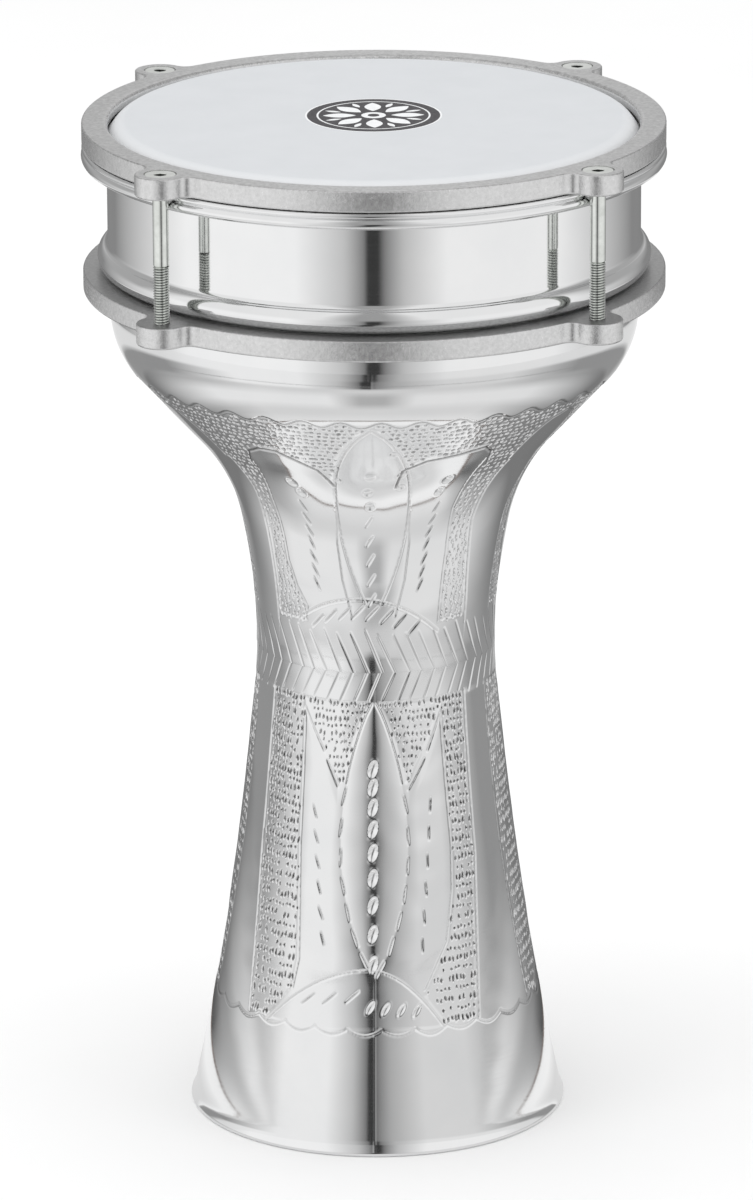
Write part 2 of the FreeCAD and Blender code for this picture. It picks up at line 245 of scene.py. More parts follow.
# ---- engraving ----
class Skin:
    """The shell's outer face as a grid of rows and columns that tools are pressed into."""

    def __init__(self, outline, engraved_low, engraved_high):
        fine = (outline[:, 2] > engraved_low) & (outline[:, 2] < engraved_high)
        spacing = np.where(fine, ROW, PLAIN_ROW)
        ticks = np.concatenate([[0], np.cumsum(np.diff(outline[:, 0]) / spacing[1:])])
        count = int(ticks[-1]) + 1
        self.s = np.interp(np.linspace(0, ticks[-1], count + 1), ticks, outline[:, 0])
        self.r, self.z, self.lean = (
            np.interp(self.s, outline[:, 0], outline[:, k]) for k in (1, 2, 3)
        )
        self.outline = outline
        self.phi = np.arange(COLUMNS) * 360.0 / COLUMNS
        self.relief = np.zeros((len(self.s), COLUMNS))
        self.cuts = np.zeros((len(self.s), COLUMNS))
        # how dark each cut and punch is painted: painted shade in the hollows, together with grime in
        # them
        self.shade_and_grime = np.zeros((len(self.s), COLUMNS))
        self.worked = np.zeros((len(self.s), COLUMNS))
        self.way = 1 if outline[-1, 2] > outline[0, 2] else -1      # whether its rows rise or fall

    def read(self, z, column):
        """One column of the outline at a height."""
        return np.interp(z, self.outline[::self.way, 2], self.outline[::self.way, column])

    def along(self, z):
        return self.read(z, 0)

    def radius(self, z):
        return self.read(z, 1)

    def window(self, phi, z, reach):
        """The rows and columns near a point, with how far right and up of it they are."""
        s, r = self.along(z), self.radius(z)
        low, high = np.searchsorted(self.s, (s - reach, s + reach))
        span = math.degrees(reach / r)
        first = math.floor((phi - span) * COLUMNS / 360.0)
        columns = np.arange(first, first + math.ceil(2 * span * COLUMNS / 360.0) + 2)
        right = np.radians(columns * 360.0 / COLUMNS - phi) * self.r[low:high, None]
        up = (self.s[low:high, None] - s) * self.way + 0 * right
        return slice(low, high), columns % COLUMNS, right, up

    # Paints shade, together with grime, into a cut, keeping the darker of the old and new marks.
    def darken(self, rows, columns, shade):
        here = self.shade_and_grime[rows][:, columns]
        self.shade_and_grime[rows.start:rows.stop, columns] = np.maximum(here, shade)

    def dent(self, phi, z, length, width, lean, depth, burr=0.0, dark=0.5):
        """An oval punch; lean is how far its top tips to the right, in degrees."""
        rows, columns, right, up = self.window(phi, z, 0.75 * length + width)
        if right.size == 0:
            return
        t = math.radians(lean)
        far = (right * math.sin(t) + up * math.cos(t)) / (length / 2)
        off = (right * math.cos(t) - up * math.sin(t)) / (width / 2)
        q = far**2 + off**2
        cut = depth * np.clip(1 - q, 0, None) ** 0.9
        if burr:
            cut = cut - burr * np.exp(-((np.sqrt(q) - 1.12) / 0.16) ** 2)
        here = self.cuts[rows][:, columns]
        self.cuts[rows.start:rows.stop, columns] = np.where(np.abs(cut) > np.abs(here), cut, here)
        # painted shade with grime in the punch, dark over most of its width
        self.darken(rows, columns, dark * np.clip(1.8 * (1 - q), 0.0, 1.0))

    def groove(self, points, width, depth, dark=0.22):
        """A cut line through (angle, height) points, run without gaps."""
        for (pa, za), (pb, zb) in zip(points, points[1:]):
            mid_r = self.radius((za + zb) / 2)
            dx = math.radians(pb - pa) * mid_r
            dy = (self.along(zb) - self.along(za)) * self.way
            length = math.hypot(dx, dy)
            count = max(1, round(length / 3.4))
            for k in range(count):
                u = (k + 0.5) / count
                self.stroke(pa + u * (pb - pa), za + u * (zb - za), length / count + 0.8,
                            width, math.degrees(math.atan2(dx, dy)), depth, 0.5, dark)

    def stroke(self, phi, z, length, width, lean, depth, taper=1.0, dark=0.4):
        """A chisel cut; taper 1 fades it out at both ends, and 0 keeps it full depth."""
        rows, columns, right, up = self.window(phi, z, length / 2 + width)
        if right.size == 0:
            return
        t = math.radians(lean)
        far = np.abs(right * math.sin(t) + up * math.cos(t)) / (length / 2)
        past = np.clip(far - 1, 0, None) * (length / 2)
        off = np.hypot(right * math.cos(t) - up * math.sin(t), past) / (width / 2)
        ends = np.clip(1 - taper * far**2, 0, None) ** 0.5 if taper else 1.0
        cut = depth * np.clip(1 - off, 0, None) ** 0.8 * ends
        here = self.cuts[rows][:, columns]
        self.cuts[rows.start:rows.stop, columns] = np.maximum(here, cut)
        # painted shade with grime along the cut, fading with its ends
        self.darken(rows, columns, dark * np.clip(1.6 * (1 - off), 0.0, 1.0) * ends)

    def surface(self):
        """The grid in millimetres, with the work pressed in along the surface's normal."""
        phi = np.radians(self.phi)
        t = np.radians(self.lean)[:, None]
        depth = self.cuts - self.relief
        r = self.r[:, None] - depth * np.cos(t)
        z = self.z[:, None] + depth * np.sin(t) * self.way
        return np.stack([r * np.sin(phi), -r * np.cos(phi), z], axis=-1)


def turned(a, panel):
    """A panel's own angle as an angle round the drum."""
    return a + FACING + panel * PANEL


def panel_angle(phi):
    """Angles round the drum as their panel's own angle, from PANEL_LEFT to PANEL_RIGHT."""
    return (phi - FACING - PANEL_LEFT) % PANEL + PANEL_LEFT


def from_seam(a):
    """How far a panel's own angle is from the seam between two panels."""
    return np.abs((a + (PANEL / 2 - PANEL_RIGHT)) % PANEL - PANEL / 2)


def between(place, table):
    """A value that runs in straight stretches through (place, value) pairs."""
    return np.interp(place, [p[0] for p in table], [p[1] for p in table])


LEFT_OUTER = [(47, -52.0), (75, -54.0), (110, -56.5), (150, -57.0), (172, -56.5),
              (198, -52.5), (240, -52.0), (255, -50.5), (270, -52.5)]
LEFT_INNER = [(47, -42.6), (60, -32.8), (72, -31.0), (115, -34.0), (172, -35.0),
              (203, -33.0), (209, -33.5), (216, -38.3), (226, -41.6), (251, -42.5), (272, -40.0)]
RIGHT_INNER = [(47, 24.0), (60, 16.5), (79, 27.8), (98, 31.8), (115, 33.0), (172, 31.0),
               (203, 30.4), (231, 31.6), (249, 31.0), (262, 33.0), (275, 35.0)]
RIGHT_OUTER = [(47, 38.8), (55, 39.5), (110, 45.5), (172, 46.5), (208, 46.7), (226, 45.0),
               (242, 43.0), (255, 44.5), (270, 47.5)]
PETAL_TOP = [(-42, 268.0), (-39, 274.5), (-34, 277.2), (-28.7, 277.0), (-23.7, 273.6),
             (-18.1, 269.5), (-14, 262.0), (7.0, 262.0), (8.5, 270.0), (15, 274.3),
             (24, 276.0), (32, 278.0), (35, 275.0), (37, 268.0)]
SPEAR = [(14.4, 250.0), (14.9, 236.0), (13.6, 221.0), (10.0, 207.0)]
TRIANGLE_LOW = [(-35, 170), (-17.5, 140), (-15, 139.5), (12, 139.5), (14.4, 139), (31, 167)]
UPPER_LEAF = (207.0, 291.0, 13.8)
LOWER_LEAF = (68.0, 172.5, 14.4)        # lower tip, upper tip, widest half angle


def leaf_half(z, leaf):
    """Half the angle across a leaf between its two tips."""
    low, high, widest = leaf
    t = np.clip((z - low) / (high - low), 0.0, 1.0)
    return widest * np.sin(np.pi * t) ** 0.75


def crown(phi):
    return CROWN_Z + 1.3 * np.cos(np.radians(CROWN_WAVES * phi))


def upper_dome(a):
    return 213.3 - 0.0105 * (a + 7.0) ** 2


def lower_dome(a):
    return np.where(a < -3.0, 70.0 - 0.0150 * (a + 3.0) ** 2, 70.0 - 0.0312 * (a + 3.0) ** 2)


def tongue_half(z):
    """Half the angle across the plain band's rounded upper end."""
    return 9.6 * np.sqrt(np.clip(1 - ((z - STRIPE_TOP_Z) / TONGUE_TALL) ** 2, 0.0, 1.0))


def in_upper_ground(a, z):
    """True where the bowl is stippled."""
    top = between(a, PETAL_TOP)
    clear_of_tongue = from_seam(a) > tongue_half(z) + 1.0
    in_stripes = (a > between(z, LEFT_OUTER) + 1.2) & (a < between(z, RIGHT_OUTER) - 1.2)
    in_panel = np.where(z > STRIPE_TOP_Z, clear_of_tongue, in_stripes)
    stripe = (a < between(z, LEFT_INNER) - 1.0) | (a > between(z, RIGHT_INNER) + 1.0)
    above = (z > top + 1.3) & (np.abs(a - LEAF_AXIS) > leaf_half(z, UPPER_LEAF) + 1.2)
    return in_panel & ((stripe & ((z < STRIPE_TOP_Z) | (z > top))) | above)


def triangle_low(a):
    """Lower edge of the two punched triangles that hang between the lower leaf and petals."""
    return between(a, TRIANGLE_LOW)


def in_lower_ground(a, z):
    """True where the foot is punched in rows."""
    in_panel = (a > between(z, LEFT_OUTER) + 1.2) & (a < between(z, RIGHT_OUTER) - 1.2)
    stripe = (a < between(z, LEFT_INNER) - 1.0) | (a > between(z, RIGHT_INNER) + 1.0)
    hanging = (z > triangle_low(a) + 2.0) & (np.abs(a - LEAF_AXIS) > leaf_half(z, LOWER_LEAF) + 1.5)
    clear_of_dome = (z > lower_dome(a) + 2.0) | (z > 70.0) | (a < -42.0) | (a > 24.0)
    return in_panel & (stripe | hanging) & clear_of_dome


def softened(mask, rows, columns):
    """A mask as numbers, its edges spread over this many rows and columns either way."""
    out = mask.astype(float)
    for axis, reach in ((0, rows), (1, columns)):
        out = sum(np.roll(out, k, axis=axis) for k in range(-reach, reach + 1)) / (2 * reach + 1)
    return out


def curve(function, start, end, count):
    return [(u, float(function(u))) for u in np.linspace(start, end, count)]


def edge_line(table, low, high):
    """(angle, height) points down a boundary between two heights."""
    heights = [low] + [h for h, _ in table if low < h < high] + [high]
    return [(float(between(z, table)), z) for z in heights]


def engrave_bowl(skin, chance):
    phi, z = skin.phi[None, :], skin.z[:, None]
    a = panel_angle(phi)
    shade_upper_relief(skin, a, z)
    for panel in range(PANELS):
        def line(points, width=1.1, depth=0.26, dark=0.22):
            skin.groove([(turned(p, panel), h) for p, h in points], width, depth, dark)

        line(edge_line(LEFT_OUTER, CHEVRON_TOP_Z, STRIPE_TOP_Z))
        line(edge_line(RIGHT_OUTER, CHEVRON_TOP_Z, STRIPE_TOP_Z))
        line(edge_line(LEFT_INNER, 207.0, 270.0))
        line(edge_line(RIGHT_INNER, 203.0, 272.0), 0.9, 0.22)
        line(PETAL_TOP[:7], 1.5, 0.45, 0.75)
        line(PETAL_TOP[7:], 1.5, 0.45, 0.75)
        heights = np.linspace(212.0, 290.8, 22)
        for side in (-1, 1):
            line([(LEAF_AXIS + side * float(leaf_half(h, UPPER_LEAF)), h) for h in heights], 1.2, 0.34)
            line([(PANEL_RIGHT + side * float(tongue_half(h)), h)
                  for h in np.linspace(STRIPE_TOP_Z, STRIPE_TOP_Z + TONGUE_TALL, 9)])
            line([(LEAF_AXIS + side * p, h) for p, h in SPEAR])
        line(curve(upper_dome, -35, 30, 16), 1.4, 0.40)
        for k in range(8):
            p = -28 + 6.6 * k + chance.uniform(-0.6, 0.6)
            skin.stroke(turned(p, panel), upper_dome(p) - 5.2, 8.0, 1.3, 42, 0.45)
        for k in range(7):
            h = 251 - 5.3 * k + chance.uniform(-0.4, 0.4)
            skin.stroke(turned(-28.3 + 0.2 * k, panel), h, 6.2, 1.1, -24 + chance.uniform(-4, 4), 0.42)
            skin.stroke(turned(23.6 - 0.6 * k, panel), h, 6.0, 1.1, 24 + chance.uniform(-4, 4), 0.42)
        for k in range(5):
            skin.stroke(turned(LEAF_AXIS - 1.5 + 0.2 * k, panel), 246 - 8.2 * k, 6.0, 1.4, 30, 0.45,
                        1.0, 0.25)
        for p, h, size in ((-1.6, 267.5, 4.4), (-2.6, 259.5, 3.4), (-1.8, 253.0, 3.0),
                           (-12.0, 271.0, 3.2), (-12.2, 265.0, 2.8), (8.2, 268.0, 3.4),
                           (8.6, 262.0, 2.8), (5.0, 279.0, 3.0), (-29.0, 262.0, 4.0),
                           (-27.0, 257.5, 3.4), (24.2, 264.0, 4.0), (22.6, 258.5, 3.2)):
            lean = 20 if p > -20 else -30
            skin.dent(turned(p, panel), h, size * 1.25, size, lean, 0.55, 0.08, 0.12)
        stipple(skin, panel, chance)
    waves = CROWN_WAVES * 8
    skin.groove([(p, float(crown(p))) for p in np.linspace(0, 360, waves + 1)], 1.3, 0.35, 0.5)
    chevrons(skin, 1, chance)


def swell(skin, a, z, leaf, leaf_rise, petal_rise):
    """Raises a leaf and the petals beside it; a rise is its height and where it fades out."""
    half = np.maximum(leaf_half(z, leaf), 0.5)
    inside = np.clip(1 - (np.abs(a - LEAF_AXIS) / half) ** 2, 0, None) * np.clip(half / 8, 0, 1)
    tall, low_end = leaf_rise
    skin.relief += tall * inside * low_end
    tall, high_end, low_end = petal_rise
    for left, right in ((LEFT_INNER, None), (None, RIGHT_INNER)):
        edge_a = between(z, left) if left else LEAF_AXIS + leaf_half(z, leaf)
        edge_b = between(z, right) if right else LEAF_AXIS - leaf_half(z, leaf)
        middle, reach = (edge_a + edge_b) / 2, np.maximum((edge_b - edge_a) / 2, 1.0)
        across = np.clip(1 - ((a - middle) / reach) ** 2, 0, None)
        skin.relief += tall * across * high_end * low_end


def shade_upper_relief(skin, a, z):
    """Swells the leaf and petals of the bowl, and sinks the ground between them."""
    worked = smooth_step(z, 184, 190) * (1 - smooth_step(z, crown(skin.phi[None, :]) - 1.5,
                                                         crown(skin.phi[None, :]) + 0.5))
    band = (a > between(z, RIGHT_OUTER)) | (a < between(z, LEFT_OUTER))
    tongue = from_seam(a) < tongue_half(z)
    plain = np.where(z > STRIPE_TOP_Z, tongue, band * smooth_step(z, 190, 203))
    skin.worked = (1 - 0.85 * plain) * worked
    swell(skin, a, z, UPPER_LEAF, (0.30, smooth_step(z, 213, 222)),
          (0.28, smooth_step(between(a, PETAL_TOP) - z, 0, 7), smooth_step(z, 206, 216)))
    ground = in_upper_ground(a, z) & (z > 203.0) & (z < crown(skin.phi[None, :]) - 0.4)
    skin.relief -= worked * (0.12 * (1 - plain) + 0.24 * softened(ground, 1, 2))


def shade_lower_relief(skin, a, z):
    """Swells the leaf, petals and dome of the foot, and sinks the punched ground."""
    worked = 1 - smooth_step(-z, -48.5, -46.5)
    band = (a > between(z, RIGHT_OUTER)) | (a < between(z, LEFT_OUTER))
    plain = band * (1 - smooth_step(z, CHEVRON_BOTTOM_Z - 3.5, CHEVRON_BOTTOM_Z + 1.5))
    skin.worked = (1 - 0.85 * plain) * worked
    swell(skin, a, z, LOWER_LEAF, (0.40, 1.0),
          (0.35, smooth_step(triangle_low(a) - z, -2, 8), smooth_step(z, 62, 74)))
    ground = in_lower_ground(a, z) & (z > 49.0) & (z < 172.5)
    skin.relief -= worked * (0.12 * (1 - plain) + 0.16 * softened(ground, 1, 2))


def smooth_step(value, low, high):
    t = np.clip((value - low) / (high - low), 0.0, 1.0)
    return t * t * (3 - 2 * t)


def stipple(skin, panel, chance):
    """Pebbled punch marks in wandering rows, coarser high up on the bowl."""
    h = 203.0
    while h < 293.0:
        coarse = float(smooth_step(h, 252.0, 262.0))
        step = math.degrees((2.3 + 0.2 * coarse) / skin.radius(h))
        a = PANEL_LEFT + chance.uniform(0, step)
        while a < PANEL_RIGHT:
            p, at = a + chance.uniform(-0.2, 0.2) * step, h + chance.uniform(-0.35, 0.35)
            if in_upper_ground(p, at) and at < crown(turned(p, panel)) - 1.2:
                size = chance.uniform(1.0, 1.5) + coarse * chance.uniform(0.2, 0.8)
                skin.dent(turned(p, panel), at, size, size * chance.uniform(0.65, 0.95),
                          chance.uniform(50, 130) if coarse else chance.uniform(-70, 70),
                          chance.uniform(0.30, 0.50) + 0.15 * coarse, 0.05,
                          chance.uniform(0.15, 0.60) + 0.15 * coarse)
            a += step
        h += 1.95


def brick_rows(skin, panel, chance):
    """Rows of short upright punches with rows of dots between them."""
    h, tall = 49.5, True
    while h < 172.0:
        step = math.degrees((1.65 if tall else 1.7) / skin.radius(h))
        a = PANEL_LEFT + chance.uniform(0, step)
        while a < PANEL_RIGHT:
            p, at = a + chance.uniform(-0.2, 0.2) * step, h + chance.uniform(-0.45, 0.45)
            if in_lower_ground(p, at) and chance.random() < 0.88:
                size = 1.3 if abs(p + 4.0) > 28.0 else 1.0      # a bolder punch in the stripes
                length = chance.uniform(1.6, 2.6) if tall else chance.uniform(0.8, 1.4)
                skin.dent(turned(p, panel), at, size * length, size * chance.uniform(0.70, 0.95),
                          chance.uniform(-10, 14), chance.uniform(0.42, 0.78), 0.05,
                          chance.uniform(0.55, 0.75) * size)
            a += step
        h += 3.8 - 0.9 * float(smooth_step(h, 90.0, 150.0))
        tall = not tall


def chevrons(skin, part, chance):
    """The band of angled cuts round the waist, which meet in points at its crease."""
    for k in range(CHEVRONS):
        p = k * 360.0 / CHEVRONS + chance.uniform(-0.6, 0.6)
        crease = p + math.degrees(6.2 / WAIST_R)
        if part > 0:
            far, end = p, CHEVRON_TOP_Z - chance.uniform(0.0, 2.5)
        else:
            far, end = crease - math.degrees(4.9 / WAIST_R), CHEVRON_BOTTOM_Z - chance.uniform(0, 1.5)
        length = math.hypot(math.radians(far - crease) * WAIST_R, end - WAIST_CREASE_Z)
        lean = math.degrees(math.atan2(math.radians(far - crease) * WAIST_R, end - WAIST_CREASE_Z))
        skin.stroke((far + crease) / 2, (end + WAIST_CREASE_Z) / 2, length + 1.2,
                    chance.uniform(0.85, 1.1), lean, chance.uniform(0.22, 0.32), 0.85)


def engrave_foot(skin, chance):
    phi, z = skin.phi[None, :], skin.z[:, None]
    shade_lower_relief(skin, panel_angle(phi), z)
    for panel in range(PANELS):
        def line(points, width=1.1, depth=0.26):
            skin.groove([(turned(p, panel), h) for p, h in points], width, depth)

        line(edge_line(LEFT_OUTER, 48.0, 173.0))
        line(edge_line(RIGHT_OUTER, 48.0, 173.0))
        line(edge_line(LEFT_INNER, 61.0, 168.0), 0.9, 0.24)
        line(edge_line(RIGHT_INNER, 62.0, 166.0), 0.9, 0.24)
        line([(-35.0, 168.0), (-24.5, 153.0)], 1.1, 0.35)
        line([(-22.5, 149.0), (-17.5, 140.0)], 1.1, 0.35)
        line([(31.0, 165.6), (24.0, 153.0)], 1.1, 0.35)
        line([(22.0, 149.5), (14.4, 139.0)], 1.1, 0.35)
        for side in (-1, 1):
            def rim(h):
                return LEAF_AXIS + side * float(leaf_half(h, LOWER_LEAF))

            line([(rim(h), h) for h in np.linspace(141.5, 171.5, 9)], 1.0, 0.30)
            for k in range(7):
                h = 134.5 - 1.5 * side - 12.4 * k + 0.33 * k * k
                sideways = math.radians(rim(h + 1) - rim(h - 1)) * skin.radius(h) / 2
                skin.stroke(turned(rim(h), panel), h, 7.6, 1.25,
                            math.degrees(math.atan(sideways)) + chance.uniform(-5, 5), 0.42)
        for k in range(9):
            h = 147.0 - 6.7 * k - 0.33 * k * k
            lean = 15 + chance.uniform(-3, 3)
            skin.dent(turned(LEAF_AXIS - 0.6, panel), h, 6.8, 3.5, lean, 0.95, 0.06, 0.0)
            skin.stroke(turned(LEAF_AXIS - 0.6, panel), h, 4.6, 0.9, lean + 4, 1.15, 1.0, 0.7)
        for k in range(6):
            skin.stroke(turned(-27.7 + 1.25 * k, panel), 129 - 9.6 * k, 6.2, 1.15,
                        -20 + chance.uniform(-5, 5), 0.42)
            skin.stroke(turned(24.0 - 1.3 * k, panel), 132 - 10.6 * k, 6.4, 1.15,
                        chance.uniform(-8, 6), 0.42)
        line(curve(lower_dome, -42.6, -3, 14), 1.0, 0.30)
        line(curve(lower_dome, -3, 24, 12), 1.0, 0.30)
        for k in range(3):
            skin.stroke(turned(-26.0 + 8.4 * k, panel), 57.5 + 1.2 * k, 7.6, 1.2, 48, 0.4)
        for k in range(4):
            skin.dent(turned(-2.5 + 5.6 * k, panel), 56.0 - 0.6 * k, 5.6, 2.2, 32, 0.6, 0.06, 0.15)
        brick_rows(skin, panel, chance)
    width = 360.0 / SCALLOPS
    for k in range(SCALLOPS):
        sag = chance.uniform(2.1, 2.8)
        arch = [(width * (k + u), SCALLOP_Z - sag * math.sin(math.pi * u)) for u in np.linspace(0, 1, 9)]
        skin.groove(arch, 1.3, 0.17, 0.12)
    chevrons(skin, -1, chance)


def uneven(skin, chance):
    """The slight waviness that hand work leaves in thin sheet."""
    wave = np.zeros_like(skin.relief)
    for _ in range(26):
        turns, tall = chance.randint(4, 34), chance.uniform(12, 60)
        phase, shift = chance.uniform(0, 6.3), chance.uniform(0, 6.3)
        around_part = np.sin(np.radians(turns * skin.phi[None, :]) + phase)
        wave += around_part * np.sin(2 * np.pi * skin.z[:, None] / tall + shift) / (6 + turns)
    skin.relief += 0.20 * wave * (0.12 + 0.88 * skin.worked)


# ---- materials ----
def material(name, **values):
    """A new node material whose Principled shader has these constant values."""
    made = bpy.data.materials.new(name)
    made.use_nodes = True
    shader = made.node_tree.nodes["Principled BSDF"]
    for key, value in values.items():
        shader.inputs[key.replace("_", " ")].default_value = value
    return made, made.node_tree, shader


def put(tree, kind, **values):
    node = tree.nodes.new(kind)
    for key, value in values.items():
        setattr(node, key, value)
    return node


def noise(tree, scale, stretch=(1, 1, 1), detail=4.0, roughness=0.55):
    """Noise in metres, finer along an axis by its stretch."""
    place = put(tree, "ShaderNodeTexCoord")
    mapping = put(tree, "ShaderNodeMapping")
    mapping.inputs["Scale"].default_value = stretch
    tree.links.new(place.outputs["Object"], mapping.inputs["Vector"])
    made = put(tree, "ShaderNodeTexNoise")
    made.inputs["Scale"].default_value = scale
    made.inputs["Detail"].default_value = detail
    made.inputs["Roughness"].default_value = roughness
    tree.links.new(mapping.outputs["Vector"], made.inputs["Vector"])
    return made.outputs["Fac"]


def spread(tree, value, low, high, to_low, to_high):
    node = put(tree, "ShaderNodeMapRange")
    for name, number in zip(("From Min", "From Max", "To Min", "To Max"), (low, high, to_low, to_high)):
        node.inputs[name].default_value = number
    tree.links.new(value, node.inputs["Value"])
    return node.outputs["Result"]


def maths(tree, operation, a, b):
    node = put(tree, "ShaderNodeMath", operation=operation)
    for socket, value in zip(node.inputs, (a, b)):
        if isinstance(value, (int, float)):
            socket.default_value = value
        else:
            tree.links.new(value, socket)
    return node.outputs["Value"]


def tints(tree, value, *stops):
    """A colour ramp through (position, (r, g, b)) stops."""
    ramp = put(tree, "ShaderNodeValToRGB")
    elements = ramp.color_ramp.elements
    while len(elements) < len(stops):
        elements.new(0.5)
    for element, (position, colour) in zip(elements, stops):
        element.position = position
        element.color = (*colour, 1.0)
    tree.links.new(value, ramp.inputs["Fac"])
    return ramp.outputs["Color"]


def mixed(tree, factor, low, high):
    """Low turning to high as the factor rises; each is a node's output, a grey or a colour."""
    mix = put(tree, "ShaderNodeMix", data_type="RGBA")
    tree.links.new(factor, mix.inputs["Factor"])
    for socket, colour in ((mix.inputs[6], low), (mix.inputs[7], high)):
        if isinstance(colour, float):
            socket.default_value = (colour, colour, colour, 1.0)
        elif isinstance(colour, tuple):
            socket.default_value = (*colour, 1.0)
        else:
            tree.links.new(colour, socket)
    return mix.outputs[2]


def from_axis(tree, place):
    """How far a place is from the drum's axis."""
    flat = put(tree, "ShaderNodeMapping")
    flat.inputs["Scale"].default_value = (1, 1, 0)
    tree.links.new(place, flat.inputs["Vector"])
    length = put(tree, "ShaderNodeVectorMath", operation="LENGTH")
    tree.links.new(flat.outputs["Vector"], length.inputs[0])
    return length.outputs["Value"]


def bumps(tree, shader, height, strength, distance, under=None):
    node = put(tree, "ShaderNodeBump")
    node.inputs["Strength"].default_value = strength
    node.inputs["Distance"].default_value = distance
    tree.links.new(height, node.inputs["Height"])
    if under is not None:
        tree.links.new(under, node.inputs["Normal"])
    tree.links.new(node.outputs["Normal"], shader.inputs["Normal"])
    return node.outputs["Normal"]


def shaded_and_soiled(tree, colour, dark, low, high, most):
    """A colour that turns dark in the cuts, as painted shade there together with grime, and the factor
    by which it does.
    """
    sunk = put(tree, "ShaderNodeAttribute", attribute_name="sunk").outputs["Fac"]
    factor = spread(tree, sunk, low, high, 0.0, most)
    return mixed(tree, factor, colour, dark), factor


def spun_aluminium():
    """Bright spun sheet: fine turning lines, and a softer gleam where it has been worked."""
    made, tree, shader = material("spun_aluminium", Metallic=1.0)
    rings = noise(tree, 1.0, (3, 3, 2600), 3.0, 0.6)
    cloud = noise(tree, 38.0, detail=5.0)
    colour = tints(tree, cloud, (0.3, (0.875, 0.88, 0.885)), (0.75, (0.925, 0.925, 0.925)))
    # painted shade in the cuts and punches, with grime: near-black where the sunk attribute is high
    colour, shade_and_grime = shaded_and_soiled(tree, colour, (0.06, 0.057, 0.057), 0.05, 1.0, 0.95)
    tree.links.new(colour, shader.inputs["Base Color"])
    worked = put(tree, "ShaderNodeAttribute", attribute_name="worked").outputs["Fac"]
    rough = maths(tree, "ADD", spread(tree, rings, 0.35, 0.7, 0.055, 0.10),
                  maths(tree, "MULTIPLY", worked, 0.02))
    rough = maths(tree, "ADD", rough, maths(tree, "MULTIPLY", shade_and_grime, 0.12))
    tree.links.new(rough, shader.inputs["Roughness"])
    bumps(tree, shader, rings, 0.06, 0.00002)
    return made


def cast_aluminium(name, face_shading):
    """Sand-cast ring: mottled and pitted faces, with walls ground brighter."""
    made, tree, shader = material(name, Metallic=0.9)
    coarse = noise(tree, 620.0, detail=6.0, roughness=0.7)
    fine = noise(tree, 1500.0, detail=3.0)
    normal = put(tree, "ShaderNodeNewGeometry").outputs["Normal"]
    axes = put(tree, "ShaderNodeSeparateXYZ")
    tree.links.new(normal, axes.inputs["Vector"])
    facing_up = spread(tree, maths(tree, "ABSOLUTE", axes.outputs["Z"], 0.0), 0.35, 0.9, 0.0, 1.0)
    # face_shading darkens the faces' colour; below 1 it is painted shade and painted reflection, as on
    # the lower ring under the collar
    low, middle, high = (face_shading * k for k in (0.46, 0.59, 0.72))
    face = tints(tree, coarse, (0.32, (low, low, low)), (0.50, (middle, middle, middle)),
                 (0.66, (high, high, high)))
    wall = tints(tree, coarse, (0.3, (0.62, 0.62, 0.62)), (0.7, (0.78, 0.78, 0.78)))
    tree.links.new(mixed(tree, facing_up, wall, face), shader.inputs["Base Color"])
    rough = maths(tree, "ADD", spread(tree, coarse, 0.3, 0.7, 0.17, 0.28),
                  maths(tree, "MULTIPLY", facing_up, 0.12))
    tree.links.new(rough, shader.inputs["Roughness"])
    under = bumps(tree, shader, coarse, 0.35, 0.0003)
    bumps(tree, shader, fine, 0.25, 0.0001, under)
    return made


def zinc_plate():
    """Bright zinc with the faint yellow-green of its passivation."""
    made, tree, shader = material("zinc_plate", Metallic=1.0)
    cloud = noise(tree, 260.0, detail=5.0)
    colour = tints(tree, cloud, (0.3, (0.66, 0.68, 0.65)), (0.7, (0.84, 0.86, 0.83)))
    # painted shade in the thread's roots and down in the socket, with grime
    colour, shade_and_grime = shaded_and_soiled(tree, colour, (0.07, 0.075, 0.08), 0.45, 1.0, 0.85)
    tree.links.new(colour, shader.inputs["Base Color"])
    rough = maths(tree, "ADD", spread(tree, cloud, 0.3, 0.7, 0.08, 0.15),
                  maths(tree, "MULTIPLY", shade_and_grime, 0.15))
    tree.links.new(rough, shader.inputs["Roughness"])
    bumps(tree, shader, noise(tree, 1.0, (300, 300, 5000), 2.0), 0.10, 0.00003)
    return made


def coated_film():
    """Milk-white film: a finely grained coat over the playing face, and a rim painted lighter as a
    painted highlight on its rounded shoulder.
    """
    made, tree, shader = material("coated_film")
    place = put(tree, "ShaderNodeTexCoord").outputs["Object"]
    out = spread(tree, from_axis(tree, place), 0.0925, 0.0985, 0.0, 1.0)
    grain = noise(tree, 900.0, detail=3.0)
    coat = tints(tree, noise(tree, 60.0, detail=6.0), (0.3, (0.572, 0.588, 0.607)),
                 (0.7, (0.594, 0.609, 0.629)))
    # painted highlight: the colour turns lighter out over the rim's rounded shoulder
    tree.links.new(mixed(tree, out, coat, (0.76, 0.77, 0.78)), shader.inputs["Base Color"])
    tree.links.new(spread(tree, out, 0.0, 1.0, 0.62, 0.28), shader.inputs["Roughness"])
    bumps(tree, shader, grain, 0.12, 0.00006)
    return made


def cast_resin():
    made, tree, shader = material("cast_resin")
    cloud = noise(tree, 200.0)
    colour = tints(tree, cloud, (0.3, (0.50, 0.50, 0.47)), (0.7, (0.66, 0.66, 0.63)))
    tree.links.new(colour, shader.inputs["Base Color"])
    tree.links.new(spread(tree, cloud, 0.3, 0.7, 0.25, 0.45), shader.inputs["Roughness"])
    return made


def print_ink(name, dark, light):
    """Screen-printed ink with a slightly uneven lay."""
    made, tree, shader = material(name)
    colour = tints(tree, noise(tree, 500.0, detail=5.0), (0.3, dark), (0.7, light))
    tree.links.new(colour, shader.inputs["Base Color"])
    tree.links.new(spread(tree, noise(tree, 900.0), 0.3, 0.7, 0.45, 0.6), shader.inputs["Roughness"])
    return made


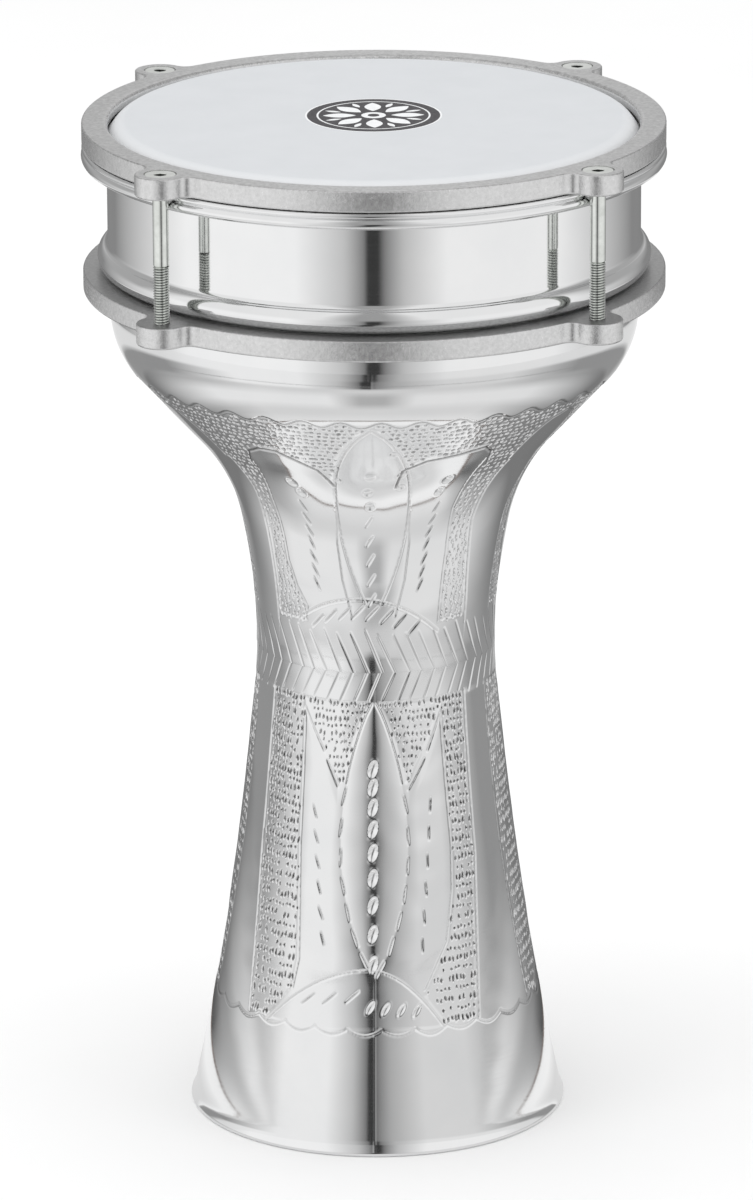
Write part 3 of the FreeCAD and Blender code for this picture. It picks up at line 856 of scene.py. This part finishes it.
# ---- pieces ----
def make_bowl(metal):
    chance = random.Random(11)
    outline = trace(BOWL_STEPS, 1, WAIST_Z)
    skin = Skin(outline, WAIST_Z - 1, CROWN_Z + 4)
    engrave_bowl(skin, chance)
    uneven(skin, chance)
    build = Build()
    build.grid(skin.surface(), worked=skin.worked, sunk=skin.shade_and_grime)
    shoulder_r, shoulder_z = outline[-1][1:3]
    curl_r = FILM_BEND_R - FILM - 0.1
    under = (shoulder_r + 0.3, LOWER_RING_Z + 0.1)
    bead = arc3(under, (BEAD_R, BEAD_Z), (STEP_R, STEP_Z), 20)
    step = arc3((STEP_R, STEP_Z), (STEP_R - 1.25, STEP_Z + 0.75), (COLLAR_R, COLLAR_BOTTOM_Z), 10)
    curl = around(EDGE_CENTRE, curl_r, 0, 120, 14)
    build.lathe(subdivided([(shoulder_r, shoulder_z), (shoulder_r, under[1]), under], 4.0))
    build.lathe(bead + step[1:] + subdivided([(COLLAR_R, COLLAR_BOTTOM_Z), (COLLAR_R, COLLAR_TAPER_Z),
                                              curl[0]], 3.0)[1:] + curl[1:])
    inner = [(r - SHEET * math.cos(math.radians(t)), z + SHEET * math.sin(math.radians(t)))
             for _, r, z, t in outline[::40]]
    inner_curl = around(EDGE_CENTRE, curl_r - SHEET, 0, 120, 10)
    wall_r = COLLAR_R - SHEET
    lining = [(WAIST_R, WAIST_Z), *inner, (shoulder_r - SHEET, BEAD_Z - 4), (wall_r, COLLAR_BOTTOM_Z),
              (wall_r, COLLAR_TAPER_Z), *inner_curl, curl[-1]]
    build.lathe(subdivided(lining, 8.0), 180, flip=True)
    return build.piece("bowl", "shell", metal, ["bowl_shell"])


def make_foot(metal):
    chance = random.Random(23)
    outline = trace(FOOT_STEPS, -1, WAIST_Z)
    skin = Skin(outline, SCALLOP_Z - 6, WAIST_Z + 1)
    engrave_foot(skin, chance)
    uneven(skin, chance)
    build = Build()
    build.grid(skin.surface(), flip=True, worked=skin.worked, sunk=skin.shade_and_grime)
    rim = trace(FOOT_STEPS + [RIM_STEP], -1, WAIST_Z)[len(outline) - 1::25]
    flare = outline[-1]
    t = math.radians(flare[3])
    inner_r = flare[1] - SHEET * math.cos(t)
    lip = [(r, z) for _, r, z, _ in rim] + [(inner_r, 0.0), (inner_r, flare[2] - SHEET * math.sin(t))]
    build.lathe(lip, flip=True)
    sleeve_r = WAIST_R - SHEET - 0.05
    inner = [(r - SHEET * math.cos(math.radians(t)), z - SHEET * math.sin(math.radians(t)))
             for _, r, z, t in outline[::-40]]
    sleeve = [(sleeve_r - SPIGOT_WALL, WAIST_Z), (sleeve_r - SPIGOT_WALL, WAIST_Z + SPIGOT_LENGTH),
              (sleeve_r, WAIST_Z + SPIGOT_LENGTH), (sleeve_r, WAIST_Z), (WAIST_R, WAIST_Z)]
    build.lathe(subdivided(inner + sleeve, 8.0), 180, flip=True)
    return build.piece("foot", "shell", metal, ["foot_shell"])


def make_film(coat):
    reach = math.dist(EDGE_CENTRE, FILM_SIDE)
    slope = math.degrees(math.atan2(FILM_SIDE[1] - EDGE_CENTRE[1], FILM_SIDE[0] - EDGE_CENTRE[0]))

    def face(inset):
        bend_r = FILM_BEND_R - inset
        leaves = slope + math.degrees(math.acos(bend_r / reach))
        shoulder = around(EDGE_CENTRE, bend_r, leaves, 90, 16)
        side = (FILM_SIDE[0] - inset, FILM_SIDE[1])
        top = (0.0, HEIGHT - inset)
        return subdivided([(side[0], FILM_END_Z), side, shoulder[0]], 1.5) + shoulder[1:] \
            + subdivided([shoulder[-1], top], 6.0)[1:]

    build = Build()
    build.lathe(face(0.0))
    build.lathe([face(0.0)[0], face(FILM)[0]], flip=True)
    build.lathe(face(FILM), 180, flip=True)
    return build.piece("head_film", "shell", coat, ["drumhead_film"])


def make_hoop(metal):
    """The head's hoop: a rolled upper lip and a fuller bead under a soft crease."""
    crease = (HOOP_R - 1.3, 376.2)
    lower = arc3((HOOP_R - 2.0, HOOP_BOTTOM_Z), (HOOP_R, 374.0), crease, 16)
    upper = arc3(crease, (HOOP_R - 0.25, 377.2), (HOOP_R - 1.2, HOOP_TOP_Z), 12)
    build = Build()
    build.lathe(subdivided([(HOOP_BORE_R, HOOP_BORE_TOP_Z), (HOOP_BORE_R, HOOP_BOTTOM_Z),
                            (HOOP_R - 2.0, HOOP_BOTTOM_Z)], 3.0))
    build.lathe(lower + upper[1:] + [(HOOP_R - 3.0, HOOP_TOP_Z)])
    build.lathe([(HOOP_R - 3.0, HOOP_TOP_Z), (HOOP_R - 3.0, HOOP_CHANNEL_TOP_Z),
                 (HOOP_R - 1.7, HOOP_CHANNEL_TOP_Z), (HOOP_R - 1.7, HOOP_CHANNEL_FLOOR_Z),
                 (HOOP_BORE_R + 1.1, HOOP_CHANNEL_FLOOR_Z), (HOOP_BORE_R + 1.1, HOOP_BORE_TOP_Z),
                 (HOOP_BORE_R, HOOP_BORE_TOP_Z)])
    return build.piece("head_hoop", "shell", metal, ["drumhead_hoop"], crease=50.0)


def make_screw(number, metal):
    """A countersunk socket screw with its thread; its axis is the ear's."""
    angle = math.radians(45.0 + 90.0 * (number - 1))
    axis = np.array([EAR_PITCH_R * math.cos(angle), EAR_PITCH_R * math.sin(angle), 0.0])
    count = 48
    turns = np.linspace(0, 2 * np.pi, count, endpoint=False)

    def sheet(build, radii, heights, flip=False, sunk=0.0):
        r, z = np.atleast_2d(radii), np.atleast_2d(heights)
        xyz = np.stack([r * np.cos(turns), r * np.sin(turns), z + 0 * r * turns], axis=-1)
        build.grid(xyz + axis, flip=flip, sunk=sunk + 0 * xyz[:, :, 0])

    cone_z = SCREW_TOP_Z - SCREW_HEAD_LAND - (SCREW_HEAD_R - SCREW_R)
    tip_z = SCREW_TOP_Z - SCREW_LENGTH
    build = Build()
    plain = [(SCREW_R - 0.55, THREAD_TOP_Z - 0.3), (SHANK_R, THREAD_TOP_Z + 0.5), (SHANK_R, cone_z),
             (SCREW_HEAD_R, cone_z + SCREW_HEAD_R - SCREW_R), (SCREW_HEAD_R, SCREW_TOP_Z - 0.25),
             (SCREW_HEAD_R - 0.25, SCREW_TOP_Z)]
    plain = subdivided(plain, 3.0)
    sheet(build, np.array([p[0] for p in plain])[:, None] + 0 * turns,
          np.array([p[1] for p in plain])[:, None])
    heights = np.arange(tip_z, THREAD_TOP_Z + 0.05, 0.125)[:, None]
    wave = np.abs(((heights - THREAD_PITCH * turns / (2 * np.pi)) / THREAD_PITCH) % 1.0 - 0.5) * 2
    crest = np.clip(1.25 * wave - 0.1, 0.0, 1.0)
    chamfer = np.clip((heights - tip_z) / 0.7, 0.0, 1.0)
    # the thread's roots are painted darker than its crests: painted shade with grime
    sheet(build, SCREW_R - THREAD_DEPTH * (1 - crest) * chamfer - 0.6 * (1 - chamfer), heights,
          sunk=1 - crest)
    sheet(build, np.array([[0.01], [2.4]]) + 0 * turns, np.array([[tip_z], [tip_z]]))
    flat = SOCKET_FLATS / 2
    hexagon = flat / np.cos((turns + math.pi / 6) % (math.pi / 3) - math.pi / 6)
    lead = hexagon + 0.30
    face = np.array([hexagon * 0 + 0.02, hexagon, hexagon, lead, hexagon * 0 + SCREW_HEAD_R - 0.25])
    depth = np.array([SCREW_TOP_Z - SOCKET_DEPTH - 0.4, SCREW_TOP_Z - SOCKET_DEPTH,
                      SCREW_TOP_Z - 0.3, SCREW_TOP_Z, SCREW_TOP_Z])[:, None]
    # the socket is painted darker down inside it: painted shade with grime
    sheet(build, face, depth, flip=True, sunk=np.array([0.75, 0.9, 0.5, 0.0, 0.0])[:, None])
    return build.piece(f"screw_{number}_finish", f"screw_{number}", metal,
                       [f"tension_screw_{number}"], crease=30.0)


def make_badge(dark, pale):
    """A printed disc with a thin outline and an eight-petalled rosette."""
    count = 96
    turns = np.linspace(0, 2 * np.pi, count, endpoint=False)

    def ring(build, inner, outer, low, top):
        """A thin flat ring with a wall round its outer edge; its edges may vary with angle."""
        rows = [(inner, top), (outer, top), (outer, low)]
        radii = np.array([np.broadcast_to(r, turns.shape) for r, _ in rows])
        z = np.array([h for _, h in rows])[:, None]
        xyz = np.stack([radii * np.sin(turns), BADGE_Y - radii * np.cos(turns), z + 0 * radii], axis=-1)
        build.grid(xyz, flip=True)

    base = Build()
    ring(base, 0.01, BADGE_R, HEIGHT, HEIGHT + 0.05)
    base.piece("badge_disc", "shell", dark, ["head_badge"])
    rim = Build()
    ring(rim, BADGE_R - 0.1, BADGE_R + BADGE_RIM, HEIGHT, HEIGHT + 0.06)
    ring(rim, *BADGE_LINE, HEIGHT + 0.04, HEIGHT + 0.07)
    rim.piece("badge_outline", "shell", pale)
    rosette = Build()
    for k in range(8):
        rosette.grid(petal(k * 45.0, 6.5, 19.0, 3.1))
        rosette.grid(petal(22.5 + k * 45.0, 13.0, 19.4, 1.1))
    ring(rosette, 2.2, 4.6, HEIGHT + 0.04, HEIGHT + 0.08)
    rosette.piece("badge_rosette", "shell", pale)


def petal(degrees, near, far, half):
    """A flat pointed oval on the badge, from one radius to another."""
    u = np.linspace(0, 1, 25)
    width = half * np.sin(np.pi * u) ** 0.9
    along = near + (far - near) * u
    t = math.radians(degrees)
    xyz = np.zeros((2, 25, 3))
    for row, side in enumerate((-1, 1)):
        xyz[row, :, 0] = along * math.sin(t) + side * width * math.cos(t)
        xyz[row, :, 1] = BADGE_Y - along * math.cos(t) + side * width * math.sin(t)
    xyz[:, :, 2] = HEIGHT + 0.08
    return xyz


# ---- stage ----
def make_floor():
    mesh = bpy.data.meshes.new("floor")
    reach = 14.0
    corners = [(-reach, -reach, 0), (reach, -reach, 0), (reach, reach, 0), (-reach, reach, 0)]
    mesh.from_pydata(corners, [], [(0, 1, 2, 3)])
    made, tree, shader = material("pale_floor", Roughness=0.9)
    colour = tints(tree, noise(tree, 3.0), (0.3, (0.90, 0.90, 0.90)), (0.7, (0.92, 0.92, 0.92)))
    tree.links.new(colour, shader.inputs["Base Color"])
    shader.inputs["Specular IOR Level"].default_value = 0.0
    mesh.materials.append(made)
    floor = add_object("floor", mesh)


TENT_R = 0.62
TENT_TOP = 1.25
TENT_LIFT = 0.6                 # its floor above the drum's, in millimetres
TENT_TURN = -2.6                # degrees
SLIT_GLOW = 0.04                # the dark slit between the two front panels
SLIT_EDGE = 0.18                # the soft edges beside it


def tent_band(back, side, edges, left, right, front=()):
    """Brightness by degrees round the tent: dim sides, and a panel each side of the front.

    edges are where the sides end and where the panels begin, going forward from the back."""
    far, near = edges
    return [(-180, back), (-150, side), (-far, side), (-near, left), *front,
            (near, right), (far, side), (150, side), (180, back)]


def slit(low, high, left, right):
    """A dark slit between two angles, with panels that fade towards it."""
    return [(-30, left), (low - 9, 0.6 * left), (low - 0.3, SLIT_EDGE), (low, SLIT_GLOW),
            (high, SLIT_GLOW), (high + 0.3, SLIT_EDGE), (high + 9, 0.6 * right), (30, right)]


def dip(depth, left, right):
    """A soft dark patch in front."""
    return [(-20, left), (-6, depth), (6, depth), (20, right)]


TENT_COLLAR = tent_band(0.20, 0.25, (140, 80), 0.95, 0.90, slit(-1.5, 4.0, 0.95, 0.90))
TENT_BELT = tent_band(0.95, 0.75, (100, 75), 0.90, 0.80, slit(-3.5, 2.0, 0.90, 0.80))
TENT_LOW = tent_band(0.85, 0.30, (100, 60), 0.90, 0.70, slit(-5.0, 0.0, 0.90, 0.70))
TENT_HIGH = tent_band(0.85, 0.40, (105, 85), 0.85, 0.85, dip(0.35, 0.85, 0.85))
TENT_FLOOR = tent_band(0.15, 0.20, (140, 80), 0.85, 0.80, dip(0.45, 0.85, 0.80))
TENT_MIDDLE = tent_band(0.15, 0.20, (140, 50), 0.70, 0.65)
TENT_NEAR = tent_band(0.15, 0.20, (135, 60), 0.70, 0.70)
TENT_PALE = tent_band(0.10, 0.10, (125, 80), 0.80, 0.80)
# TENT_CENTRE is a painted shadow: the drum's own shade on the floor that the metal reflects
TENT_CENTRE = 0.72              # under and just beside the drum's foot
TENT_FOOT = 0.93                # round that
TENT_HEM = (0.17, 0.135, 0.12)  # the narrow dark edge round that


def make_tent():
    """A light tent with a slit in front, seen only in reflections."""
    build = Build()
    r = TENT_R / MM
    build.lathe([(0.5, TENT_LIFT), (r * 0.2, TENT_LIFT), (r * 0.5, TENT_LIFT), (r, TENT_LIFT)], 128)
    build.lathe([(r, TENT_LIFT), (r, TENT_TOP / MM)], 128, flip=True)
    build.lathe([(r, TENT_TOP / MM), (0.5, TENT_TOP / MM)], 128, flip=True)
    mesh = bpy.data.meshes.new("light_tent")
    mesh.from_pydata(np.concatenate(build.points) * MM, [], np.concatenate(build.faces).tolist())
    made = bpy.data.materials.new("tent_glow")
    made.use_nodes = True
    tree = made.node_tree
    tree.nodes.clear()
    place = put(tree, "ShaderNodeTexCoord").outputs["Object"]
    axes = put(tree, "ShaderNodeSeparateXYZ")
    tree.links.new(place, axes.inputs["Vector"])
    turn = maths(tree, "ARCTAN2", axes.outputs["X"], maths(tree, "MULTIPLY", axes.outputs["Y"], -1.0))
    share = spread(tree, turn, -math.pi, math.pi, 0.0, 1.0)
    out, height = from_axis(tree, place), axes.outputs["Z"]

    def by_angle(table):
        return tints(tree, share, *[((a + 180.0) / 360.0, (v, v, v)) for a, v in table])

    def blend(low, high, value, start, end):
        return mixed(tree, spread(tree, value, start, end, 0.0, 1.0), low, high)

    floor = blend(TENT_CENTRE, TENT_FOOT, out, 0.085, 0.110)
    floor = blend(floor, TENT_HEM, out, 0.140, 0.142)
    floor = blend(floor, by_angle(TENT_PALE), out, 0.1465, 0.1485)
    floor = blend(floor, by_angle(TENT_NEAR), out, 0.155, 0.215)
    floor = blend(floor, by_angle(TENT_FLOOR), out, 0.25, 0.32)
    floor = blend(floor, by_angle(TENT_MIDDLE), out, 0.40, 0.50)
    floor = blend(floor, by_angle(TENT_LOW), out, 0.53, 0.57)
    floor = blend(floor, 0.30, out, 0.606, 0.616)
    wall = blend(by_angle(TENT_LOW), by_angle(TENT_BELT), height, 0.060, 0.085)
    wall = blend(wall, by_angle(TENT_COLLAR), height, 0.140, 0.152)
    wall = blend(wall, by_angle(TENT_HIGH), height, 0.34, 0.48)
    glow = put(tree, "ShaderNodeEmission")
    tree.links.new(blend(floor, wall, height, 0.0010, 0.0012), glow.inputs["Color"])
    output = put(tree, "ShaderNodeOutputMaterial")
    tree.links.new(glow.outputs["Emission"], output.inputs["Surface"])
    made.cycles.emission_sampling = "NONE"
    mesh.materials.append(made)
    tent = add_object("light_tent", mesh)
    tent.rotation_euler = (0, 0, math.radians(TENT_TURN))
    for ray in ("camera", "diffuse", "shadow", "transmission", "volume_scatter"):
        setattr(tent, f"visible_{ray}", False)


def make_lights():
    world = bpy.data.worlds.new("studio_air")
    world.use_nodes = True
    background = world.node_tree.nodes["Background"]
    background.inputs["Color"].default_value = (1.0, 1.0, 1.0, 1.0)
    background.inputs["Strength"].default_value = 0.955
    world.cycles_visibility.glossy = False
    bpy.context.scene.world = world
    for name, place, size, power in (
        ("light_top", (-0.25, 0.15, 2.3), 2.4, 14.0),
        ("light_left", (-2.4, -1.6, 1.5), 1.6, 10.0),
        ("light_right", (2.4, -1.4, 1.5), 1.6, 7.0),
    ):
        light = bpy.data.lights.new(name, "AREA")
        light.size = size
        light.energy = power
        lamp = add_object(name, light)
        lamp.location = place
        lamp.rotation_euler = (Vector((0, 0, 0.2)) - lamp.location).to_track_quat("-Z", "Y").to_euler()
        lamp.visible_glossy = False
        lamp.visible_camera = False


def make_camera():
    distance, roll, half_height = 3.224, 0.23, 0.1935
    elevation, azimuth = math.radians(17.4), math.radians(FACING)
    back = Vector((math.sin(azimuth) * math.cos(elevation), -math.cos(azimuth) * math.cos(elevation),
                   math.sin(elevation)))
    camera = add_object("camera", bpy.data.cameras.new("camera"))
    camera.location = Vector((0, 0, half_height)) + back * distance
    turn = (-back).to_track_quat("-Z", "Y").to_matrix()
    camera.rotation_euler = (turn @ Matrix.Rotation(math.radians(-roll), 3, "Z")).to_euler()
    camera.data.lens = 254.8
    camera.data.sensor_width = 36.0
    camera.data.shift_x = 0.0006
    camera.data.shift_y = 0.0108
    camera.data.clip_end = 100.0
    bpy.context.scene.camera = camera


def main():
    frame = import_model()
    make_camera()
    spun = spun_aluminium()
    upper_cast = cast_aluminium("cast_aluminium", 1.0)
    # the lower ring's faces are painted darker: painted shade and dark reflection under the collar
    lower_cast_shaded = cast_aluminium("cast_aluminium_shaded", 0.72)
    zinc = zinc_plate()
    make_bowl(spun)
    make_foot(spun)
    make_film(coated_film())
    make_hoop(spun)
    for number in range(1, 5):
        make_screw(number, zinc)
    make_badge(print_ink("charcoal_ink", (0.030, 0.028, 0.032), (0.045, 0.042, 0.048)),
               print_ink("white_ink", (0.74, 0.75, 0.76), (0.82, 0.83, 0.84)))
    carried_over = {"top_ring": upper_cast, "bottom_ring": lower_cast_shaded, "drumhead_resin": cast_resin()}
    for name, finish in carried_over.items():
        for place in frame["nodes"][name].material_slots:
            place.material = finish
    make_floor()
    make_tent()
    make_lights()
    bpy.context.scene.view_settings.view_transform = "Standard"


main()
